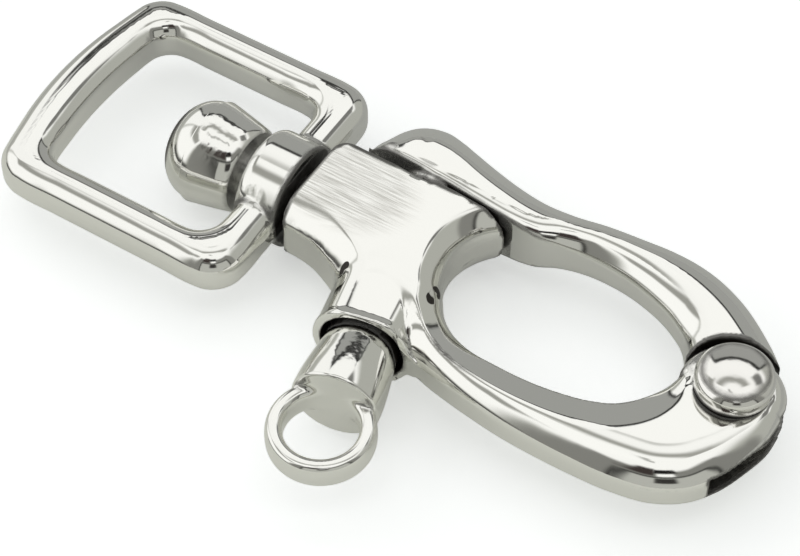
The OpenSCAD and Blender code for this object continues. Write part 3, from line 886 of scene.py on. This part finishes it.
def makeSpringTree(material):
    names = ("Turns", "Radius", "Wire", "Start", "End")
    inputs, outputs = [(n, "Float") for n in names], [("Geometry", "Geometry")]
    g, into, out = newGroup("coilSpring", inputs, outputs, "GeometryNodeTree")
    g.is_modifier = True
    turns, radius, wire, start, end = (into.outputs[n] for n in names)

    def metres(value):
        return step(g, "MULTIPLY", value, mm)

    sizes = {
        "Resolution": 40,
        "Rotations": turns,
        "Start Radius": metres(radius),
        "End Radius": metres(radius),
        "Height": metres(step(g, "SUBTRACT", end, start)),
    }
    coil = node(g, "GeometryNodeCurveSpiral", sizes)
    ring = node(g, "GeometryNodeCurvePrimitiveCircle", {"Resolution": 14, "Radius": metres(wire)})
    sweep = {"Curve": coil.outputs[0], "Profile Curve": ring.outputs[0], "Fill Caps": True}
    tube = node(g, "GeometryNodeCurveToMesh", sweep)
    lift = node(g, "ShaderNodeCombineXYZ", {"Z": metres(start)})
    move = node(g, "GeometryNodeTransform", {"Geometry": tube.outputs[0], "Translation": lift.outputs[0]})
    real = node(g, "GeometryNodeRealizeInstances", {0: move.outputs[0]})
    paint = node(g, "GeometryNodeSetMaterial", {"Geometry": real.outputs[0], "Material": material})
    g.links.new(paint.outputs[0], out.inputs[0])
    return g


def makeSpring(sizes, material):
    seed = addObject("springSeed", bpy.data.meshes.new("springSeed"))
    tree = makeSpringTree(material)
    modifier = seed.modifiers.new("coil", "NODES")
    modifier.node_group = tree
    for item in tree.interface.items_tree:
        if item.in_out == "INPUT":
            modifier[item.identifier] = sizes[item.name]
    bpy.context.view_layer.update()
    mesh = bpy.data.meshes.new_from_object(seed.evaluated_get(bpy.context.evaluated_depsgraph_get()))
    inward = Vector((-outward[0], -outward[1], 0.0))
    mesh.transform(inward.to_track_quat("Z", "X").to_matrix().to_4x4())
    mesh.transform(Matrix.Translation(Vector((mouth[0], mouth[1], 0.0)) * mm))
    bpy.data.objects.remove(seed, do_unlink=True)
    mesh.name = "plungerSpring"
    spring = addObject("plungerSpring", mesh)
    fixOut(spring)
    smooth(mesh)
    print("spring", len(mesh.polygons), "faces")
    return spring


# ---- painted shade and grime in narrow places, and painted dark reflection lines along sharp edges, kept with each surface ----
# rough solids of the swivel head and rivet head, which cast painted shade on the pieces round them
def nearHead(p):
    beyond = np.maximum(p[:, 0] - swivelSizes["footAt"], swivelSizes["end"] - p[:, 0])
    return np.maximum(np.hypot(p[:, 1], p[:, 2]) - 6.3, beyond)


def nearRivet(p):
    away = np.hypot(p[:, 0] - hinge[0], p[:, 1] - hinge[1])
    beyond = np.maximum(rivetSizes["seatAt"] - p[:, 2], p[:, 2] - 7.7)
    return np.maximum(away - rivetSizes["head"] + 0.35, beyond)


nearSolids += [nearHead, nearRivet]


# painted shade, with some unplated dullness, inside the clevis slot, cup and bores, less low in the slot;
# painted shadow in the slit along the gate's wing
def inBodyHollows(p):  # clevis slot, cup and bores of the body
    x, y, z = p.T
    s, side = byPlunger(x, y)
    away = np.hypot(side, z)
    cup = (away < bodySizes["cupRadius"] + 0.1) & (s > 0.7) & (s < 3.3)
    bore = (away < 3.45) & (s > 3) & (s < 25)
    slot = (np.abs(z) < bodySizes["slotHalf"] + 0.05) & (x + y > 53.2)
    slot &= np.hypot(x - hinge[0], y - hinge[1]) > 2.5
    slit = (y > 7.3) & (x > 3.0) & (x < 25.0) & (np.abs(z) < 4.9)
    return 0.9 * (cup | bore | slot) - 0.38 * (slot & (z < -1.3)) + 0.75 * slit


# painted shadow on the wing's inner side, in the slit facing the barrel
def inGateHollows(p):  # inner side of the wing, facing the barrel
    x, y, z = p.T
    return 0.64 * ((y < 9.9) & (x < 25.5) & (np.abs(z) < 3.9))


markSizes = {
    "reaches": ((0.6, 0.25), (1.2, 0.3), (2.4, 0.25), (4.0, 0.2)),  # how far out to look, and its share
    "bendFrom": 0.085,
    "bendOver": 0.09,
    "plainMouth": (8.0, 10.0),  # edges fade in over these distances from the mouth of the boss
}


# crevice: how closed in a point is, for painted shade and grime; edgeReflectionLine: how sharply the
# surface turns there, for painted dark reflection lines
def markSurface(piece, hollows=None, lines=True):
    mesh = piece.data
    n = len(mesh.vertices)
    p, normal = np.empty(n * 3), np.empty(n * 3)
    mesh.vertices.foreach_get("co", p)
    mesh.vertices.foreach_get("normal", normal)
    p, normal = p.reshape(-1, 3) / mm, normal.reshape(-1, 3)
    crevice = np.zeros(n)
    for reach, share in markSizes["reaches"]:
        at = p + normal * reach
        free = np.full(n, farAway)
        for solid in nearSolids:
            free = np.minimum(free, solid(at))
        crevice += share * np.clip(1 - free / reach, 0, 1)
    e = np.empty(len(mesh.edges) * 2, int)
    mesh.edges.foreach_get("vertices", e)
    e = e.reshape(-1, 2)
    bend = np.linalg.norm(normal[e[:, 1]] - normal[e[:, 0]], axis=1)
    reflectionLine = np.zeros(n)
    count = np.zeros(n)
    for side in (0, 1):
        np.add.at(reflectionLine, e[:, side], bend)
        np.add.at(count, e[:, side], 1)
    reflectionLine /= np.maximum(count, 1)
    for turn in range(2):
        total, count = reflectionLine.copy(), np.ones(n)
        for side in (0, 1):
            np.add.at(total, e[:, side], reflectionLine[e[:, 1 - side]])
            np.add.at(count, e[:, side], 1)
        reflectionLine = total / count
    reflectionLine = np.clip((reflectionLine - markSizes["bendFrom"]) / markSizes["bendOver"], 0, 1) ** 1.5 * lines
    reflectionLine *= ease(np.hypot(p[:, 0] - mouth[0], p[:, 1] - mouth[1]), *markSizes["plainMouth"])
    if hollows is not None:
        crevice = np.maximum(crevice, hollows(p))
    for name, values in (("crevice", crevice), ("edgeReflectionLine", reflectionLine)):
        mesh.attributes.new(name, "FLOAT", "POINT").data.foreach_set("value", values)
    print(piece.name, "marked")


markSurface(shackleBody, inBodyHollows)
markSurface(gateArm, inGateHollows)
markSurface(swivelEye)
for piece in (knobPull, swivelPin, hingeRivet, plungerPin):
    markSurface(piece, lines=False)

# ---- plated surfaces ----
plateLooks = {  # ripple and brush are depths (mm)
    "polishedPlate": {"colour": (0.86, 0.858, 0.825), "roughness": 0.05, "ripple": 0.03, "brush": 0.007},
    "turnedPlate": {"colour": (0.85, 0.848, 0.815), "roughness": 0.06, "ripple": 0.05, "brush": 0.0},
    "rivetPlate": {"colour": (0.84, 0.83, 0.8), "roughness": 0.06, "ripple": 0.02, "brush": 0.0},
    "plungerSteel": {"colour": (0.7, 0.7, 0.68), "roughness": 0.15, "ripple": 0.0, "brush": 0.0},
    "springSteel": {"colour": (0.55, 0.55, 0.55), "roughness": 0.25, "ripple": 0.0, "brush": 0.0},
}
# where the plating is rippled, brushed or spotted with painted dark reflections: middle and reach (mm)
ripplePlaces = {
    "polishedPlate": [((3.5, -8.0, 4.0), (6.0, 2.5, 3.0))],
    "turnedPlate": [
        ((-13.5, 0.0, 5.0), (4.5, 5.5, 4.0)),
        ((19.6, -21.0, 4.0), (3.0, 5.0, 2.5)),
        ((-5.2, -6.0, 4.0), (2.5, 2.0, 2.0)),
    ],
    "rivetPlate": [((61.3, 0.4, 7.0), (3.0, 3.0, 2.0))],
}
brushPlace = ((5.0, 1.0, 5.7), (11.5, 8.5, 2.5))
# painted reflections of a dark thing, as dark spots on the neck and the flank
darkReflectionPlaces = [((23.2, -7.4, 3.6), (1.2, 2.6, 1.7)), ((11.7, -10.0, 4.2), (0.9, 1.5, 1.5))]
reliefLook = {"waveScale": 0.16, "waveDepth": 0.03, "rippleScale": 0.75, "streakScale": 1.6}
# near-black colour of painted shade and grime, also of the painted dark reflection lines and spots
shadeGrimeLook = {"colour": (0.022, 0.018, 0.015), "reflectionLineShare": 0.8, "roughness": 0.3, "metalLoss": 0.6}
brushLook = {"soil": (0.36, 0.35, 0.31), "soilShare": 0.55, "roughness": 0.25}


def makeZoneGroup():  # soft ellipsoid: 1 inside, 0 beyond the reach
    names = ("Position", "Middle", "Reach")
    g, into, out = newGroup("softZone", [(n, "Vector") for n in names], [("Mask", "Float")])
    where, middle, reach = (into.outputs[n] for n in names)
    away = node(g, "ShaderNodeVectorMath", {0: where, 1: middle}, operation="SUBTRACT")
    share = node(g, "ShaderNodeVectorMath", {0: away.outputs[0], 1: reach}, operation="DIVIDE")
    size = node(g, "ShaderNodeVectorMath", {0: share.outputs[0]}, operation="LENGTH")
    g.links.new(smoothRange(g, size.outputs["Value"], 1.0, 0.6), out.inputs["Mask"])
    return g


def makeReliefGroup():  # waves, ripples and brush lines of the plated skin
    amounts = [(n, "Float") for n in ("Ripple", "Brush", "Ripple Depth", "Brush Depth")]
    inputs, outputs = [("Position", "Vector"), *amounts], [("Normal", "Vector"), ("Streaks", "Float")]
    g, into, out = newGroup("plateRelief", inputs, outputs)
    where = into.outputs["Position"]
    stretch = {"Vector": where, "Rotation": (0, 0, deg(4)), "Scale": (0.12, 2.6, 1.0)}
    streaks = noiseOf(g, node(g, "ShaderNodeMapping", stretch).outputs[0], reliefLook["streakScale"], 3.0)
    ripple = noiseOf(g, where, reliefLook["rippleScale"], 1.5)
    height = step(g, "MULTIPLY", noiseOf(g, where, reliefLook["waveScale"], 1.0), reliefLook["waveDepth"])
    for pattern, amount in ((ripple, "Ripple"), (streaks, "Brush")):
        depth = step(g, "MULTIPLY", into.outputs[amount], into.outputs[amount + " Depth"])
        height = step(g, "ADD", height, step(g, "MULTIPLY", pattern, depth))
    bump = node(g, "ShaderNodeBump", {"Strength": 1.0, "Distance": mm, "Height": height})
    g.links.new(bump.outputs[0], out.inputs["Normal"])
    g.links.new(streaks, out.inputs["Streaks"])
    return g


def makeShadeGrimeGroup():  # painted shade and grime in narrow places, painted dark reflections along sharp turns and in spots
    marks = [(n, "Float") for n in ("Crevice", "Line", "Dark Reflections")]
    inputs = [("Position", "Vector"), ("Colour", "Color"), *marks]
    g, into, out = newGroup("shadeGrimeMarks", inputs, [("Colour", "Color"), ("Mask", "Float")])
    where = into.outputs["Position"]
    patch = step(g, "MULTIPLY_ADD", noiseOf(g, where, 0.6, 3.0), 0.2, -0.1)
    # painted shade and grime where the surface is closed in, made patchy by noise
    depth = smoothRange(g, step(g, "ADD", into.outputs["Crevice"], patch), 0.45, 0.85)
    reflectionBlot = step(g, "MULTIPLY_ADD", noiseOf(g, where, 0.5, 2.0), 2.6, -0.4)
    reflectionSpots = smoothRange(g, step(g, "MULTIPLY", into.outputs["Dark Reflections"], reflectionBlot), 0.55, 0.72)
    reflectionLine = step(g, "MULTIPLY", into.outputs["Line"], shadeGrimeLook["reflectionLineShare"])
    mask = step(g, "MAXIMUM", step(g, "MAXIMUM", depth, reflectionSpots), reflectionLine, clamp=True)
    colour = mixColour(g, mask, into.outputs["Colour"], (*shadeGrimeLook["colour"], 1))
    g.links.new(colour, out.inputs["Colour"])
    g.links.new(mask, out.inputs["Mask"])
    return g


zoneGroup, reliefGroup, shadeGrimeGroup = makeZoneGroup(), makeReliefGroup(), makeShadeGrimeGroup()


def makePlate(name, look):
    m = bpy.data.materials.new(name)
    m.use_nodes = True
    t = m.node_tree
    shader = t.nodes["Principled BSDF"]
    place = node(t, "ShaderNodeTexCoord").outputs["Object"]
    where = node(t, "ShaderNodeMapping", {"Vector": place, "Scale": (1000, 1000, 1000)}).outputs[0]
    plain = (*look["colour"], 1)

    def zone(places):
        mask = None
        for middle, reach in places:
            values = {"Position": where, "Middle": middle, "Reach": reach}
            one = node(t, "ShaderNodeGroup", values, node_tree=zoneGroup).outputs["Mask"]
            mask = one if mask is None else step(t, "MAXIMUM", mask, one)
        return mask

    depths = {"Ripple Depth": look["ripple"], "Brush Depth": look["brush"]}
    relief = node(t, "ShaderNodeGroup", {"Position": where, **depths}, node_tree=reliefGroup)
    if name in ripplePlaces:
        t.links.new(zone(ripplePlaces[name]), relief.inputs["Ripple"])
    # the mark mixes painted shade and grime in narrow places with painted dark reflection lines and spots
    marks = {"Position": where, "Colour": plain, "Dark Reflections": zone(darkReflectionPlaces)}
    for socket, attribute in (("Crevice", "crevice"), ("Line", "edgeReflectionLine")):
        marks[socket] = node(t, "ShaderNodeAttribute", attribute_name=attribute).outputs["Fac"]
    shadeGrime = node(t, "ShaderNodeGroup", marks, node_tree=shadeGrimeGroup)
    rough = step(t, "MULTIPLY_ADD", noiseOf(t, where, 0.5, 4.0), 0.05, look["roughness"])
    if name == "polishedPlate":
        brushed, streaks = zone([brushPlace]), relief.outputs["Streaks"]
        t.links.new(brushed, relief.inputs["Brush"])
        lines = step(t, "MULTIPLY", streaks, brushLook["roughness"])
        rough = step(t, "ADD", rough, step(t, "MULTIPLY", brushed, lines))
        dull = {"Value": streaks, "From Min": 0.38, "From Max": 0.68, "To Max": brushLook["soilShare"]}
        share = step(t, "MULTIPLY", brushed, node(t, "ShaderNodeMapRange", dull).outputs["Result"])
        t.links.new(mixColour(t, share, plain, (*brushLook["soil"], 1)), shadeGrime.inputs["Colour"])
    # where the mark lies, the colour goes near black and the metal duller and rougher
    shadeAndDirt = shadeGrime.outputs["Mask"]
    rough = step(t, "ADD", rough, step(t, "MULTIPLY", shadeAndDirt, shadeGrimeLook["roughness"]), clamp=True)
    t.links.new(rough, shader.inputs["Roughness"])
    t.links.new(step(t, "MULTIPLY_ADD", shadeAndDirt, -shadeGrimeLook["metalLoss"], 1.0), shader.inputs["Metallic"])
    t.links.new(shadeGrime.outputs["Colour"], shader.inputs["Base Color"])
    t.links.new(relief.outputs["Normal"], shader.inputs["Normal"])
    return m


plates = {name: makePlate(name, look) for name, look in plateLooks.items()}
for piece, name in (
    (shackleBody, "polishedPlate"),
    (gateArm, "polishedPlate"),
    (swivelEye, "turnedPlate"),
    (knobPull, "turnedPlate"),
    (swivelPin, "turnedPlate"),
    (hingeRivet, "rivetPlate"),
    (plungerPin, "plungerSteel"),
):
    piece.data.materials.append(plates[name])

plungerSpring = makeSpring(springSizes, plates["springSteel"])
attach(plungerSpring, "shackle_body")
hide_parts("plunger_spring")
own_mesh(plungerSpring)
print("materials made")

# ---- light and floor ----
floorLook = {
    "level": -7.4,
    "reach": 3000.0,
    "glow": 0.44,
    "mirrorShare": 0.3,
    "seen": (0.93, 0.95, 0.96),
    "front": (0.76, 0.77, 0.71),
    "behind": (0.4, 0.405, 0.385),
    "turnFrom": -20.0,
    "turnTo": 35.0,
}


def makeFloor(look):  # pale to the camera; darker to reflections and bounce light, with painted shade deepest behind the piece; glowing a little
    mesh = bpy.data.meshes.new("floor")
    r, level = look["reach"] * mm, look["level"] * mm
    mesh.from_pydata([(-r, -r, level), (r, -r, level), (r, r, level), (-r, r, level)], [], [(0, 1, 2, 3)])
    floor = addObject("floor", mesh)
    m = bpy.data.materials.new("paleFloor")
    m.use_nodes = True
    t = m.node_tree
    shader = t.nodes["Principled BSDF"]
    shader.inputs["Roughness"].default_value = 0.9
    shader.inputs["Specular IOR Level"].default_value = 0.0
    shader.inputs["Emission Color"].default_value = (0.99, 1.0, 1.0, 1)
    path = node(t, "ShaderNodeLightPath").outputs
    place = node(t, "ShaderNodeNewGeometry").outputs["Position"]
    along = node(t, "ShaderNodeSeparateXYZ", {0: place}).outputs["Y"]
    side = smoothRange(t, along, look["turnFrom"] * mm, look["turnTo"] * mm)
    # painted shade: to reflections and bounce light the floor is darker, most of all behind the piece
    bounce = mixColour(t, side, (*look["front"], 1), (*look["behind"], 1))
    tone = mixColour(t, path["Is Camera Ray"], bounce, (*look["seen"], 1))
    t.links.new(tone, shader.inputs["Base Color"])
    seen = step(t, "ADD", path["Is Glossy Ray"], path["Is Transmission Ray"])
    seen = step(t, "MULTIPLY_ADD", seen, look["mirrorShare"], path["Is Camera Ray"])
    t.links.new(step(t, "MULTIPLY", seen, look["glow"]), shader.inputs["Emission Strength"])
    mesh.materials.append(m)


makeFloor(floorLook)

# ---- studio round the piece ----
# Soft cards on a sphere of directions, later ones in front of earlier ones
cardKeys = ("heading", "half", "low", "high", "soft", "level", "tint")
studioCards = [  # heading and half width, low and high edge, softness (all degrees), grey, tint
    (0, 400, 54, 120, 12, 1.08, (1.0, 1.0, 0.985)),
    (-150, 36, 10, 120, 5, 1.1, (1.0, 1.0, 0.985)),
    (-130, 34, -8, 7, 3, 0.09, (1.0, 1.0, 0.95)),
    (100, 48, 38, 62, 5, 1.08, (1.0, 1.0, 0.985)),
    (64, 13, 45, 58, 3, 0.2, (1.0, 1.0, 0.95)),
    (-160, 38, 50, 62, 3, 0.36, (1.0, 1.0, 0.93)),
    (120, 60, 66, 76, 4, 0.38, (1.0, 1.0, 0.93)),
    (-125, 60, 84, 87, 1.5, 0.4, (1.0, 1.0, 0.95)),
    (154, 16, 12, 60, 3, 1.06, (1.0, 1.0, 0.985)),
    (110, 31, -35, 43, 1.5, 0.03, (1.0, 1.0, 0.95)),
    (110, 28, -35, 37, 1.5, 0.37, (0.99, 1.0, 0.96)),
    (-48, 62, -30, 62, 4, 0.24, (1.0, 1.0, 0.93)),
    (-48, 45, -30, 47, 2, 0.05, (1.0, 1.0, 0.93)),
    (-48, 41, -30, 43, 2, 0.5, (0.99, 1.0, 0.93)),
    (-80, 14, 50, 69, 3, 0.05, (1.0, 0.8, 0.75)),
    (-52, 14, 57, 67, 2, 0.01, (1.0, 0.9, 0.85)),
    (-52, 9, 48, 56, 2, 1.1, (1.0, 1.0, 0.985)),
    (-54, 10, 24, 42, 3, 0.04, (1.0, 0.95, 0.9)),
]
studioBase = (0.46, 0.465, 0.43)


def makeCardGroup():  # 1 in a soft-edged window of directions
    sides = [(n, "Float") for n in ("Heading", "Half", "Low", "High", "Soft")]
    g, into, out = newGroup("softCard", [("Direction", "Vector"), *sides], [("Mask", "Float")])
    heading, half, low, high, soft = (into.outputs[n] for n, _ in sides)

    def softStep(value, edge):  # 0 well below edge, 1 well above
        return smoothRange(g, value, step(g, "SUBTRACT", edge, soft), step(g, "ADD", edge, soft))

    angle = step(g, "MULTIPLY", step(g, "RADIANS", heading), -1)
    values = {"Vector": into.outputs["Direction"], "Angle": angle}
    turn = node(g, "ShaderNodeVectorRotate", values, rotation_type="Z_AXIS")
    parts = node(g, "ShaderNodeSeparateXYZ", {0: turn.outputs[0]}).outputs
    aside = step(g, "ABSOLUTE", step(g, "DEGREES", step(g, "ARCTAN2", parts["Y"], parts["X"])))
    rise = step(g, "DEGREES", step(g, "ARCSINE", parts["Z"]))
    within = step(g, "SUBTRACT", 1, softStep(aside, half))
    above = softStep(rise, low)
    below = step(g, "SUBTRACT", 1, softStep(rise, high))
    g.links.new(step(g, "MULTIPLY", within, step(g, "MULTIPLY", above, below)), out.inputs["Mask"])
    return g


def makeStudio(cards, base):
    world = bpy.data.worlds.new("studio")
    world.use_nodes = True
    tree = world.node_tree
    group = makeCardGroup()
    where = node(tree, "ShaderNodeTexCoord").outputs["Generated"]
    colour = (*base, 1)
    for row in cards:
        c = dict(zip(cardKeys, row))
        sides = {key.capitalize(): c[key] for key in cardKeys[:5]}
        card = node(tree, "ShaderNodeGroup", {"Direction": where, **sides}, node_tree=group)
        grey = (*[c["level"] * t for t in c["tint"]], 1)
        colour = mixColour(tree, card.outputs["Mask"], colour, grey)
    tree.links.new(colour, tree.nodes["Background"].inputs["Color"])
    bpy.context.scene.world = world


makeStudio(studioCards, studioBase)
bpy.context.scene.view_settings.view_transform = "Standard"
print("studio made")
